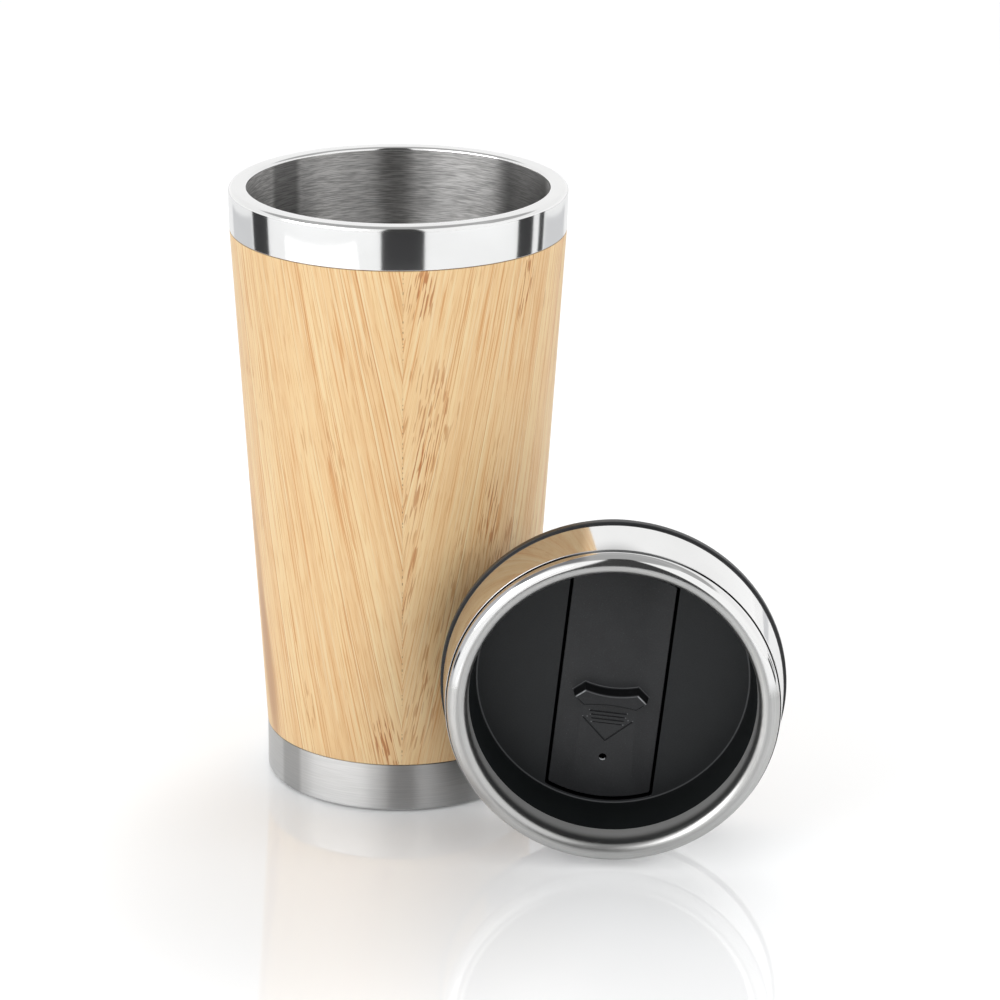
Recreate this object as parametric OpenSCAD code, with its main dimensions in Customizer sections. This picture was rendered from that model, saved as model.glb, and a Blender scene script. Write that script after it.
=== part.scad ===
// Double-wall travel mug: a steel liner and shell wrapped in a bamboo sleeve, with its push-in lid
// standing on edge beside it. Origin: centre of the underside. +Z is up and -Y is the front.

/* [Cup] */
// Height of the cup without its lid
cup_h = 156; // [120:1:200]
// Outer diameter just under the rounded rim
rim_d = 85; // [76:0.5:95]
// Outer diameter of the steel base
base_d = 68.1; // [60:0.1:74]
// Height of the steel base band
base_h = 12.9; // [9:0.1:24]
// Height of the polished rim band
band_h = 10.8; // [7:0.1:15]
// Straight length of the mouth that the lid plugs into
seat_len = 16; // [14:0.5:20]

/* [Cup walls] */
// Thickness of the bamboo sleeve
sleeve_t = 1.5; // [0.8:0.1:2.4]
// Width of the butt seam where the bamboo sheet meets itself
seam_w = 0.15; // [0.05:0.05:0.4]
// Turn of that seam from the front
seam_turn = 1.6; // [-30:0.1:30]
// Thickness of the hidden steel shell
wall_t = 0.6; // [0.4:0.1:1]
// Thickness of the steel liner
liner_t = 0.6; // [0.4:0.1:1]
// Air gap between the liner and the shell
air_gap = 1.6; // [1:0.1:2.4]
// Height of the drinking side of the liner's floor
floor_z = 10; // [7:0.5:14]
// Inside radius between the liner's floor and wall
liner_round = 6; // [3:0.5:10]

/* [Rim band] */
// Sheet thickness of the rim band
band_t = 0.8; // [0.5:0.1:1.1]
// How much wider the band is at the rim than at its lower edge
band_flare = 0.24; // [0.1:0.01:0.6]
// Radius of the rounded outer edge of the rim
rim_round = 1.3; // [1.2:0.1:2.8]

/* [Base] */
// Sheet thickness of the base band
cap_t = 0.8; // [0.5:0.1:1.2]
// Radius of the base's lower edge
cap_round = 0.9; // [0.5:0.1:1.6]
// Diameter of the anti-slip pad
pad_d = 54; // [40:1:56]
// Thickness of the anti-slip pad
pad_t = 1.4; // [1:0.1:2]
// How far the pad stands proud of the base
pad_proud = 0.3; // [0.1:0.1:0.6]
// Bevel round the pad's underside
pad_bevel = 0.4; // [0.2:0.1:0.6]

/* [Lid] */
// Height of the lid's crest above the rim that it sits on
lid_rise = 19.7; // [18:0.1:24]
// Depth of the plug below the flange
plug_len = 15.8; // [13:0.5:18]
// Radial gap between the plug and the mouth
plug_gap = 0.6; // [0.4:0.1:1]
// Thickness of the flange
flange_t = 2.1; // [1.4:0.1:2.8]
// How far the flange stands out past the rim
flange_over = 0.1; // [0:0.05:1]
// Depth of the disc's face below the rim
disc_drop = 1.5; // [1:0.1:3]
// Thickness of the disc
disc_t = 2.2; // [1.6:0.1:3]
// Wall of the well above the disc
well_t = 1.8; // [1.2:0.1:2.2]
// Height of the well's black wall above the rim
well_h = 11.2; // [9:0.1:12.5]
// How much wider the well is at its top
well_flare = 1.3; // [0.8:0.1:1.6]
// Wall of the collar that locates the well on the plug
collar_t = 1.5; // [1:0.1:2]
// Wall of the plug's skirt
skirt_t = 2.7; // [2.2:0.1:3.5]
// Length of the plug's lead-in chamfer
lead_h = 1.6; // [1:0.1:2.4]
// Depth of that chamfer
lead_w = 1; // [0.6:0.1:1.4]
// Wall that carries the trim ring
core_t = 1.4; // [1:0.1:1.8]
// Height of that wall
core_h = 14; // [10:0.5:15]

/* [Trim ring] */
// Sheet thickness of the trim ring
ring_t = 0.8; // [0.5:0.1:0.9]
// Step from the flange in to the ring
ring_step = 0.55; // [0.4:0.05:1]
// How much narrower the ring's skirt is at its upper edge
ring_taper = 1.2; // [0.8:0.1:1.4]
// Height of the rounded shoulder, from the groove under it to the crest
shoulder_h = 3.1; // [2.6:0.1:3.6]
// Width of the rounded shoulder
shoulder_w = 2.65; // [2.3:0.05:2.9]
// Radius of the lip on the inner side of the crest
ring_round = 2.3; // [1.9:0.1:2.5]
// Height of the groove between the skirt and the shoulder
notch_h = 0.4; // [0.3:0.05:0.6]
// Step from the skirt's upper edge in to the shoulder
notch_step = 0.4; // [0.3:0.05:0.5]
// Depth of that groove below the shoulder
notch_t = 0.3; // [0.2:0.05:0.35]

/* [Seal] */
// Depth of the seal's groove below the flange
seal_drop = 6; // [4.5:0.5:7]
// Height of the seal
seal_h = 4; // [3:0.5:5]
// Depth of the seal's groove in the plug
seal_groove = 1.3; // [0.9:0.1:1.6]
// How far the seal's lips stand out past the mouth before it is pushed in
seal_bite = 0.5; // [0.2:0.1:0.9]
// Thickness of each lip at its edge
seal_edge = 0.3; // [0.2:0.1:0.5]

/* [Slider] */
// Width of the slider
slider_w = 25.5; // [22:0.5:28]
// Thickness of the slider's plate
slider_t = 2.2; // [1.8:0.1:3]
// Gap along each side of the slider
side_gap = 0.6; // [0.3:0.05:0.9]
// Gap past the slider's end when it is closed
end_gap = 1.35; // [0.8:0.05:2]
// Land between the channel's end and the edge of the disc
channel_land = 0.85; // [0.5:0.05:1.4]
// Floor under the channel
channel_floor = 1.8; // [1.2:0.1:2.4]
// How far each side tongue stands out
tongue_w = 1.2; // [1:0.1:1.5]
// Thickness of the side tongues
tongue_t = 0.9; // [0.6:0.1:1.2]
// Width of the sip hole along the slider's travel
sip_w = 5; // [4.6:0.1:5.2]
// Length of the sip hole
sip_len = 19; // [14:0.5:20]
// How far the closed slider reaches past the sip hole
sip_cover = 1.2; // [0.9:0.1:1.3]
// Diameter of the air vent
vent_d = 1.9; // [1:0.1:3]
// Distance of the vent from the slider's end
vent_back = 10.2; // [9:0.1:12]
// Thickness of the silicone pad in the slider's underside
stop_t = 1.1; // [0.8:0.1:1.2]

/* [Thumb grip] */
// Width of the grip at its foot
grip_w = 18.9; // [15:0.1:20]
// Length of the grip along the slider
grip_l = 4.8; // [4:0.1:7]
// Height of the grip above the slider
grip_h = 4.8; // [3:0.1:6]
// Distance from the lid's axis to the middle of the grip
grip_back = 4; // [2:0.1:5]
// Slope of the grip's corners, across the slider
grip_corner = 2.8; // [2:0.1:4]
// Rise of the hollow in the grip's upper edge
grip_hollow = 1; // [0.5:0.1:1.4]
// Rise of the arch in the grip's lower edge
grip_arch = 0.6; // [0.3:0.1:0.9]
// Width of the bevel round the grip's face
grip_bevel = 0.3; // [0.2:0.05:0.5]

/* [Arrow] */
// Width of the engraved arrow
arrow_w = 12.1; // [8:0.1:14]
// Length of the arrow's point
arrow_l = 5.7; // [4:0.1:7]
// Distance from the lid's axis to the tip of the arrow
arrow_back = 16.9; // [16:0.1:18]
// Width of the engraved lines
line_w = 0.3; // [0.2:0.05:0.5]
// Depth of the engraved lines
line_t = 0.2; // [0.1:0.05:0.4]
// Pitch of the bars over the arrow
bar_pitch = 1; // [0.8:0.05:1.2]

/* [Place of the lid] */
// Turn of the standing lid from facing the front
lid_turn = -3.15; // [-10:0.05:10]
// Forward lean of the standing lid
lid_lean = 1.1; // [0:0.1:4]
// Turn of the lid about its own axis
lid_clock = -5.9; // [-20:0.1:20]
// Direction, from the cup's axis, of the point where the plug's edge comes nearest
near_turn = -62.7; // [-75:0.1:-50]
// Gap between the plug's edge and the sleeve there
near_gap = 0.5; // [0.4:0.1:3]

/* [Hidden] */

$fn = 96;
// Overrun of every cut
over = 1;
// Gap between bonded or pressed round faces
bond_gap = 0.1;
// Play of the slider over the channel's floor and under its grooves
slide_play = 0.1;
// Gap left at the end of a slide or round the end of a tongue
stop_gap = 0.25;

rim_r = rim_d / 2;
base_r = base_d / 2;
band_z = cup_h - band_h;
band_low_r = rim_r - band_flare;
// Radii of the hidden shell at the foot and at the rim
shell_foot_r = base_r - max(cap_t, sleeve_t) - bond_gap;
shell_top_r = band_low_r - max(band_t, sleeve_t) - bond_gap;
// The shell's top edge meets the flat underside of the rim, inside its rounded corner
shell_lip_r = min(shell_top_r, rim_r - rim_round);
// Radii of the liner: its foot and the mouth
liner_foot_r = shell_foot_r - wall_t - air_gap - liner_t;
mouth_r = shell_top_r - wall_t - air_gap - liner_t;
recess_r = pad_d / 2 + stop_gap;
shell_z = pad_t + cap_t;

flange_r = rim_r + flange_over;
plug_r = mouth_r - plug_gap;
collar_r = plug_r - collar_t;
spigot_r = collar_r - bond_gap;
disc_r = spigot_r - well_t;
well_top_r = disc_r + well_flare;
skirt_r = plug_r - skirt_t;
ring_r = flange_r - ring_step;
ring_top_r = ring_r - ring_taper;
shoulder_r = ring_top_r - notch_step;
shoulder_z = lid_rise - shoulder_h;
crest_r = shoulder_r - shoulder_w;
ring_foot_r = well_top_r + bond_gap / 2;
// The wall inside the ring follows the ring's back, which runs straight from its foot to the shoulder
core_r = ring_r - ring_t - bond_gap;
core_slope = (ring_r - shoulder_r) / (shoulder_z - flange_t);
core_top_r = core_r - (core_h - flange_t) * core_slope;
core_in_r = core_top_r - core_t;
disc_w = -disc_drop;
groove_r = plug_r - seal_groove;

// The channel is sunk by the slider's plate and its play, so the slider is flush with the disc
channel_w = disc_w - slider_t - slide_play;
tray_w = channel_w - channel_floor;
channel_end_r = disc_r - channel_land;
channel_top_r = skirt_r + stop_gap;
slider_end_r = channel_end_r - end_gap;
sip_out_r = slider_end_r - sip_cover;
sip_in_r = sip_out_r - sip_w;
// The slider opens by what it takes to clear the sip hole
travel = sip_w + sip_cover;
slider_top_r = channel_top_r - stop_gap;
slider_half = slider_w / 2;
channel_half = slider_half + side_gap;
tongue_half = slider_half + tongue_w;
groove_half = tongue_half + stop_gap;
// Ends of the tongues: the lower one is the stop that holds the slider's end gap
tongue_low = sqrt(pow(slider_end_r, 2) - pow(groove_half, 2)) - tongue_w;
tongue_high = sqrt(pow(slider_top_r, 2) - pow(groove_half, 2)) - travel - tongue_w;
vent_y = vent_back - slider_end_r;
vent_r = vent_d / 2;
// The pad in the slider's underside covers the sip hole with half of the cover on each side
stop_out_r = sip_out_r + sip_cover / 2;
stop_in_r = sip_in_r - sip_cover / 2;
stop_half = sip_len / 2 + sip_cover / 2;

// The standing lid: its flange touches the ground, and its plug stands beside the sleeve
lid_z = flange_r * cos(lid_lean) + flange_t * sin(lid_lean);
sleeve_slope = (band_low_r - base_r) / (band_z - base_h);
near_r = base_r + (lid_z - base_h) * sleeve_slope + near_gap;
lid_x = near_r * cos(near_turn) + plug_r * cos(lid_turn) + plug_len * sin(lid_turn);
lid_y = near_r * sin(near_turn) + plug_r * sin(lid_turn) - plug_len * cos(lid_turn);

// Points of an elliptical arc from angle a to angle b, in n steps
function arc(cx, cy, rx, ry, a, b, n = 8) =
    [for (i = [0:n]) let (t = a + (b - a) * i / n) [cx + rx * cos(t), cy + ry * sin(t)]];

module turned(profile) {
    rotate_extrude($fn = 180) polygon(profile);
}

module inner_liner() {
    top_z = cup_h - band_t;
    taper_z = cup_h - seat_len;
    round_r = liner_foot_r - liner_round;
    round_z = floor_z + liner_round;
    outer_round = liner_round + liner_t;
    color("silver") turned(concat(
        [[mouth_r, top_z], [mouth_r, taper_z]],
        arc(round_r, round_z, liner_round, liner_round, 0, -90),
        [[0, floor_z], [0, floor_z - liner_t]],
        arc(round_r, round_z, outer_round, outer_round, -90, 0),
        [[mouth_r + liner_t, taper_z], [mouth_r + liner_t, top_z]]));
}

module outer_shell() {
    color("lightgray") turned([
        [0, shell_z], [shell_foot_r, shell_z], [shell_foot_r, base_h], [shell_top_r, band_z],
        [shell_lip_r, cup_h - band_t], [shell_lip_r - wall_t, cup_h - band_t],
        [shell_top_r - wall_t, band_z], [shell_foot_r - wall_t, base_h],
        [shell_foot_r - wall_t, shell_z + wall_t], [0, shell_z + wall_t]]);
}

module bamboo_sleeve() {
    color("burlywood") difference() {
        turned([[base_r, base_h], [band_low_r, band_z], [band_low_r - sleeve_t, band_z],
                [base_r - sleeve_t, base_h]]);
        rotate([0, 0, seam_turn])
            translate([-seam_w / 2, -rim_r - over, base_h - over])
                cube([seam_w, rim_r + over, band_z - base_h + 2 * over]);
    }
}

module rim_band() {
    bend_r = rim_r - rim_round;
    bend_z = cup_h - rim_round;
    inside = rim_round - band_t;
    color("whitesmoke") turned(concat(
        [[band_low_r, band_z]],
        arc(bend_r, bend_z, rim_round, rim_round, 0, 90),
        arc(mouth_r + band_t, cup_h - band_t, band_t, band_t, 90, 180),
        arc(bend_r, bend_z, inside, inside, 90, 0),
        [[band_low_r - band_t, band_z]]));
}

module base_band() {
    color("lightgray") turned(concat(
        [[base_r, base_h]],
        arc(base_r - cap_round, pad_proud + cap_round, cap_round, cap_round, 0, -90),
        [[recess_r, pad_proud], [recess_r, pad_t], [0, pad_t], [0, shell_z],
         [recess_r + cap_t, shell_z], [recess_r + cap_t, pad_proud + cap_t],
         [base_r - cap_t, pad_proud + cap_t], [base_r - cap_t, base_h]]));
}

module anti_slip_pad() {
    pad_r = pad_d / 2;
    color("dimgray") turned([[0, 0], [pad_r - pad_bevel, 0], [pad_r, pad_bevel], [pad_r, pad_t], [0, pad_t]]);
}

// Carries a piece of the lid from its own frame, where +Z leaves the mouth, to where the lid stands
module standing() {
    translate([lid_x, lid_y, lid_z])
        rotate([90 + lid_lean, 0, lid_turn])
            rotate([0, 0, lid_clock])
                children();
}

// The flange, the wall of the well and the wall that carries the trim ring, in one moulding
module lid_body() {
    color("#1c1e1f") standing() turned([
        [flange_r, 0], [flange_r, flange_t], [core_r, flange_t], [core_top_r, core_h],
        [core_in_r, core_h], [core_in_r, flange_t], [spigot_r, flange_t],
        [well_top_r + well_t, well_h], [well_top_r, well_h], [disc_r, disc_w],
        [spigot_r, disc_w], [spigot_r, 0]]);
}

// Outline shared by the channel and the slider: straight sides, a round end of radius low_r below,
// and above a round end of radius high_r about a centre that is shifted by y
module slide_outline(half, low_r, high_r, y) {
    intersection() {
        circle(r = low_r);
        translate([-half, -low_r - over]) square([2 * half, low_r + over]);
    }
    intersection() {
        translate([0, y]) circle(r = high_r);
        translate([-half, -over]) square([2 * half, high_r + 2 * over]);
    }
}

// Ring sector between two radii, as wide as 2 * half, on the lower side of the lid
module lip_slot(in_r, out_r, half) {
    intersection() {
        difference() {
            circle(r = out_r);
            circle(r = in_r);
        }
        translate([-half, -out_r - over]) square([2 * half, out_r + over]);
    }
}

module lid_plug() {
    low_y = -(tongue_low + slide_play);
    high_y = tongue_high + travel + stop_gap;
    color("#1c1e1f") standing() difference() {
        union() {
            turned([
                [plug_r, 0], [collar_r, 0], [collar_r, disc_w], [0, disc_w], [0, disc_w - disc_t],
                [skirt_r, disc_w - disc_t], [skirt_r, -plug_len], [plug_r - lead_w, -plug_len],
                [plug_r, -plug_len + lead_h], [plug_r, -seal_drop - seal_h],
                [groove_r, -seal_drop - seal_h], [groove_r, -seal_drop], [plug_r, -seal_drop]]);
            intersection() {
                translate([0, 0, tray_w]) cylinder(r = skirt_r + bond_gap, h = disc_w - tray_w - disc_t / 2);
                translate([-groove_half - channel_floor, -plug_r, tray_w])
                    cube([2 * (groove_half + channel_floor), 2 * plug_r, disc_w - tray_w]);
            }
        }
        translate([0, 0, channel_w]) linear_extrude(disc_w - channel_w + over)
            slide_outline(channel_half, channel_end_r, channel_top_r, 0);
        translate([-groove_half, low_y, channel_w])
            cube([2 * groove_half, high_y - low_y, tongue_t + 2 * slide_play]);
        translate([0, 0, tray_w - over]) linear_extrude(channel_floor + 2 * over)
            lip_slot(sip_in_r, sip_out_r, sip_len / 2);
        translate([0, vent_y + travel, tray_w - over]) cylinder(r = vent_r, h = channel_floor + 2 * over);
    }
}

module lid_trim_ring() {
    skirt_z = shoulder_z - notch_h;
    lip_z = lid_rise - ring_round;
    inside = ring_round - ring_t;
    color("gainsboro") standing() turned(concat(
        [[ring_r, flange_t], [ring_top_r, skirt_z], [shoulder_r - notch_t, (skirt_z + shoulder_z) / 2]],
        arc(crest_r, shoulder_z, shoulder_w, shoulder_h, 0, 90, 12),
        arc(crest_r, lip_z, ring_round, ring_round, 90, 180, 10),
        [[ring_foot_r, well_h], [ring_foot_r + ring_t, well_h]],
        arc(crest_r, lip_z, inside, inside, 180, 90, 6),
        arc(crest_r, shoulder_z, shoulder_w - ring_t, shoulder_h - ring_t, 90, 0, 8),
        [[ring_r - ring_t, flange_t]]));
}

// A silicone ring with two soft lips that wipe the mouth
module lid_seal() {
    in_r = groove_r + bond_gap;
    out_r = mouth_r + seal_bite;
    top = -seal_drop - bond_gap;
    low = -seal_drop - seal_h + bond_gap;
    mid = (top + low) / 2;
    color("#2b2d2e") standing() turned([
        [in_r, low], [plug_r, low], [out_r, mid - 2 * seal_edge], [out_r, mid - seal_edge],
        [plug_r, mid], [out_r, top - seal_edge], [out_r, top], [in_r, top]]);
}

// Outline of the thumb grip about its own middle: a hollow upper edge and an arched lower one
module grip_outline(half, len) {
    y = len / 2;
    flat = half - grip_corner;
    polygon(concat(
        [[half, 0]],
        [for (i = [-8:8]) [-flat * i / 8, y - grip_hollow * (1 - pow(i / 8, 2))]],
        [[-half, 0]],
        [for (i = [-8:8]) [flat * i / 8, -y + grip_arch * (1 - pow(i / 8, 2))]]));
}

module grip() {
    half = grip_w / 2;
    waist_share = 1 - grip_bevel / half;
    face_share = 1 - grip_bevel / (half - grip_bevel);
    length_share = 1 - grip_bevel / grip_l;
    translate([0, -grip_back, 0]) {
        linear_extrude(grip_h - grip_bevel, scale = [waist_share, length_share], slices = 1, $fn = 4)
            grip_outline(half, grip_l);
        translate([0, 0, grip_h - grip_bevel])
            linear_extrude(grip_bevel, scale = [face_share, length_share], slices = 1, $fn = 4)
                scale([waist_share, length_share])
                    grip_outline(half, grip_l);
    }
}

// A bar from one point to another, as wide as the engraved lines
module line(a, b) {
    d = b - a;
    translate(a)
        rotate(atan2(d[1], d[0]))
            translate([-line_w / 2, -line_w / 2])
                square([norm(d) + line_w, line_w]);
}

// An engraved arrow with bars that shorten towards its point
module arrow() {
    half = arrow_w / 2;
    root_y = arrow_l - arrow_back;
    bar_shares = [0.74, 0.70, 0.65, 0.6];
    line([-half, root_y], [0, -arrow_back]);
    line([0, -arrow_back], [half, root_y]);
    for (i = [0:len(bar_shares) - 1]) {
        y = root_y + (2 - i) * bar_pitch;
        reach = half * bar_shares[i];
        line([-reach, y], [reach, y]);
    }
}

module slider() {
    under_w = disc_w - slider_t;
    color("#3a3b3d") standing() difference() {
        union() {
            translate([0, 0, under_w]) linear_extrude(slider_t)
                slide_outline(slider_half, slider_end_r, slider_top_r, -travel);
            translate([-tongue_half, -tongue_low, under_w])
                cube([2 * tongue_half, tongue_low + tongue_high, tongue_t]);
            translate([0, 0, disc_w]) grip();
        }
        translate([0, vent_y, under_w - over]) cylinder(r = vent_r, h = slider_t + 2 * over);
        translate([0, 0, disc_w - line_t]) linear_extrude(line_t + over) arrow();
        translate([0, 0, under_w - over]) linear_extrude(stop_t - slide_play / 2 + over)
            lip_slot(stop_in_r, stop_out_r, stop_half);
    }
}

module slider_stop_pad() {
    edge = bond_gap / 2;
    under_w = disc_w - slider_t - slide_play / 2;
    color("#2b2d2e") standing()
        translate([0, 0, under_w]) linear_extrude(stop_t)
            lip_slot(stop_in_r + edge, stop_out_r - edge, stop_half - edge);
}

inner_liner();
outer_shell();
bamboo_sleeve();
rim_band();
base_band();
anti_slip_pad();
lid_body();
lid_plug();
lid_trim_ring();
lid_seal();
slider();
slider_stop_pad();
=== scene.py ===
"""A double-wall travel mug in a bamboo sleeve, with its push-in lid standing on edge beside it."""

import math

import bmesh
import bpy
from mathutils import Matrix, Vector


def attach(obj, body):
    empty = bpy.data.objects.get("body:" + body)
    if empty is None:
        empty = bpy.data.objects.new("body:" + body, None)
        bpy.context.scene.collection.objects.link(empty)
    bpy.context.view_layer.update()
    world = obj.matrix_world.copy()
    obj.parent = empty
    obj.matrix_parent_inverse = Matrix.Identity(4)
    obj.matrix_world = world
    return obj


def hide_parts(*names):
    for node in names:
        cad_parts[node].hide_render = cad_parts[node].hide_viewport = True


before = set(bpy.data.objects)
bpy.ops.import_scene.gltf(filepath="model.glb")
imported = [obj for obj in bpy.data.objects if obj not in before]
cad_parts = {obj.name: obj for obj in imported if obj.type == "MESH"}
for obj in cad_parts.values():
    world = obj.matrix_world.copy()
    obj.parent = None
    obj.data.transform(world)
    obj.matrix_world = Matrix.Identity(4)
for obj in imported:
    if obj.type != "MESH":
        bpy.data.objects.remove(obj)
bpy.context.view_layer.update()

MM = 0.001
SEGMENTS = 288
SHARP = math.radians(32)
scene = bpy.context.scene

# Sizes in millimetres: R is a radius, T a thickness, and W a height over the lid's own origin. They are the
# CAD model's to 0.01 mm, but for SLIDER_LOW_R, GRIP_HALF, GRIP_L and LINE_W, which follow the photo more
# closely
CUP_H = 156.0
RIM_R = 42.5
RIM_ROUND = 1.3
BAND_Z = 145.2
BAND_LOW_R = 42.26
BAND_T = 0.8
TOP_Z = CUP_H - BAND_T
MOUTH_R = 37.86
SEAT_Z = 140.0
LINER_FOOT_R = 29.65
LINER_ROUND = 6
LINER_T = 0.6
FLOOR_Z = 10
BASE_R = 34.05
BASE_H = 12.9
BASE_ROUND = 0.9
SLEEVE_T = 1.5
SEAM_TURN = math.radians(1.6)
SEAM_R = 38  # the sleeve's middle radius, roughly
SEAM_GAP = 0.02
PAD_R = 27
PAD_T = 1.4
PAD_BEVEL = 0.4
PAD_PROUD = 0.3
PAD_GROOVES = (8, 14, 20, 25)
PAD_GROOVE_T = 0.3
RECESS_R = 27.25

BOND_GAP = 0.1
FLANGE_R = 42.6
FLANGE_T = 2.1
CORE_R, CORE_TOP_R, CORE_IN_R, CORE_H = 41.15, 39.84, 38.44, 14
SPIGOT_R = 35.66
WELL_TOP_R = 35.16
WELL_T = 1.8
WELL_H = 11.2
DISC_R = 33.86
DISC_W = -1.5
DISC_T = 2.2
BODY_LOW = DISC_W + 0.04  # a hair above the disc, so that the slider passes under it
COLLAR_R = 35.76
PLUG_R = 37.26
PLUG_LEN = 15.8
SKIRT_R = 34.56
LEAD_W, LEAD_H = 1.0, 1.6
GROOVE_R, GROOVE_LOW, GROOVE_TOP = 35.96, -10, -6
SEAL_R = 38.36
SEAL_EDGE = 0.3
RISE = 19.7
RING_T = 0.8
RING_R, RING_TOP_R, RING_FOOT_R = 42.05, 40.85, 35.22
RING_ROUND = 2.3
SKIRT_TOP = 16.2
GROOVE_IN_R = 40.2
SHOULDER_Z, SHOULDER_W, SHOULDER_H = 16.6, 2.65, 3.1
CREST_R = 37.8

TRAVEL = 6.2
STOP_GAP = 0.25
SLIDE_PLAY = 0.1
SLIDER_T = 2.2
SLIDER_HALF, SLIDER_LOW_R = 12.75, 32.2
CHANNEL_HALF, CHANNEL_LOW_R, CHANNEL_HIGH_R = 13.35, 33.01, 34.81
CHANNEL_FLOOR = 1.8
THROUGH = (-7, -3)  # heights below and above the channel's floor
TRAY_REACH = 33.9
TONGUE_HALF, TONGUE_LOW, TONGUE_HIGH, TONGUE_T = 13.95, 27.1, 24.11, 0.9
SIP_IN_R, SIP_OUT_R, SIP_HALF = 25.46, 30.46, 9.5
STOP_IN_R, STOP_OUT_R, STOP_HALF, STOP_T = 24.86, 31.06, 10.1, 1.1
VENT_R, VENT_Y = 0.95, -21.46
GRIP_HALF, GRIP_L, GRIP_BACK = 9.4, 4.75, 4.0
GRIP_CORNER, GRIP_HOLLOW, GRIP_ARCH = 2.8, 1.0, 0.6
ARROW_HALF, ARROW_ROOT, ARROW_TIP = 6.05, -11.2, -16.9
LINE_T, LINE_W = 0.2, 0.42

# Roundings: cut edges of sheet steel, soft edges of mouldings and folds, the seal's lips, and fine edges
CUT_EDGE, SOFT_EDGE, LIP_EDGE, FINE_EDGE = 0.14, 0.3, 0.12, 0.1
# The sleeve's broken edges and the slider's rounded one, as distances inwards and along the wall, and the
# liner's bend, as distances inwards and up from the seat
BROKEN_EDGE = ((0.22, 0), (0.06, 0.08))
PLATE_EDGE = ((0, 0.25), (0.03, 0.13), (0.1, 0.05), (0.24, 0))
SEAT_BEND = ((0, 0.8), (0.012, 0), (0.06, -0.8))
# The grip's foot, wall and bevel: how far each level stands out, and its height over the disc
GRIP_LEVELS = ((0.3, -0.4), (0.3, 0.0), (0.12, 0.05), (0.03, 0.16), (0.0, 0.34), (-0.12, 2.2), (-0.25, 4.2),
               (-0.29, 4.5), (-0.4, 4.68), (-0.55, 4.77), (-0.72, 4.8))
# The bars of the arrow: place, half length and width
BARS = ((-9.2, 4.48, 0.46), (-10.2, 4.24, 0.36), (-11.2, 3.93, 0.42), (-12.2, 3.63, 0.22))

# The lid's own frame, as it stands beside the cup: +Z leaves the mouth, +Y runs up along the slider
LEAN = math.radians(1.1)
TURN = math.radians(-3.15)
CLOCK = math.radians(-5.9)
LID_AT = Vector((53.028, -50.165, 42.632)) * MM
lid_turn = (Matrix.Rotation(TURN, 4, "Z") @ Matrix.Rotation(math.radians(90) + LEAN, 4, "X")
            @ Matrix.Rotation(CLOCK, 4, "Z"))
lid_place = Matrix.Translation(LID_AT) @ lid_turn


# Outlines and meshes


def arc(cx, cy, rx, ry, a, b, n=10):
    """Points of an elliptical arc from angle a to angle b, in degrees."""
    out = []
    for i in range(n + 1):
        t = math.radians(a + (b - a) * i / n)
        out.append((cx + rx * math.cos(t), cy + ry * math.sin(t)))
    return out


def fillet(here, a, b, half, reach, steps=None):
    """The rounding of a corner. The unit vectors a and b lead away from it, half is half the angle between
    them, and reach is where the rounding starts."""
    centre = here + (a + b).normalized() * (reach * math.tan(half) / math.sin(half))
    start = here + a * reach - centre
    turn = -start.angle_signed(here + b * reach - centre)
    steps = steps or max(2, math.ceil(abs(math.degrees(turn)) / 15))
    out = []
    for k in range(steps + 1):
        c, s = math.cos(turn * k / steps), math.sin(turn * k / steps)
        out.append((centre.x + start.x * c - start.y * s, centre.y + start.x * s + start.y * c))
    return out


def rounded(items, closed=True):
    """An outline whose (x, y, radius) corners are rounded; its (x, y) points stay as they are."""
    out = []
    count = len(items)
    for i, item in enumerate(items):
        here = Vector(item[:2])
        radius = item[2] if len(item) > 2 else 0
        if radius <= 0 or (not closed and i in (0, count - 1)):
            out.append(tuple(here))
            continue
        a = Vector(items[i - 1][:2]) - here
        b = Vector(items[(i + 1) % count][:2]) - here
        half = a.angle(b) / 2
        reach = min(radius / math.tan(half), 0.49 * a.length, 0.49 * b.length)
        out += fillet(here, a.normalized(), b.normalized(), half, reach)
    return out


def offset(points, d):
    """A closed outline moved outwards by d; it runs counter-clockwise."""
    count = len(points)
    out = []
    for i in range(count):
        a = Vector(points[i]) - Vector(points[i - 1])
        b = Vector(points[(i + 1) % count]) - Vector(points[i])
        na = Vector((a.y, -a.x)).normalized() if a.length > 1e-9 else Vector((0, 0))
        nb = Vector((b.y, -b.x)).normalized() if b.length > 1e-9 else na
        na = na if na.length > 0 else nb
        n = (na + nb).normalized()
        out.append(tuple(Vector(points[i]) + n * (d / max(0.3, n.dot(nb)))))
    return out


def add_object(name, bm, place=None):
    """Puts a finished mesh into the scene, smooth but for its sharp edges."""
    bmesh.ops.recalc_face_normals(bm, faces=bm.faces)
    if place is not None:
        bm.transform(place)
    mesh = bpy.data.meshes.new(name)
    bm.to_mesh(mesh)
    bm.free()
    obj = bpy.data.objects.new(name, mesh)
    scene.collection.objects.link(obj)
    smooth(obj)
    return obj


def smooth(obj):
    mesh = obj.data
    mesh.polygons.foreach_set("use_smooth", [True] * len(mesh.polygons))
    mesh.set_sharp_from_angle(angle=SHARP)


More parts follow.
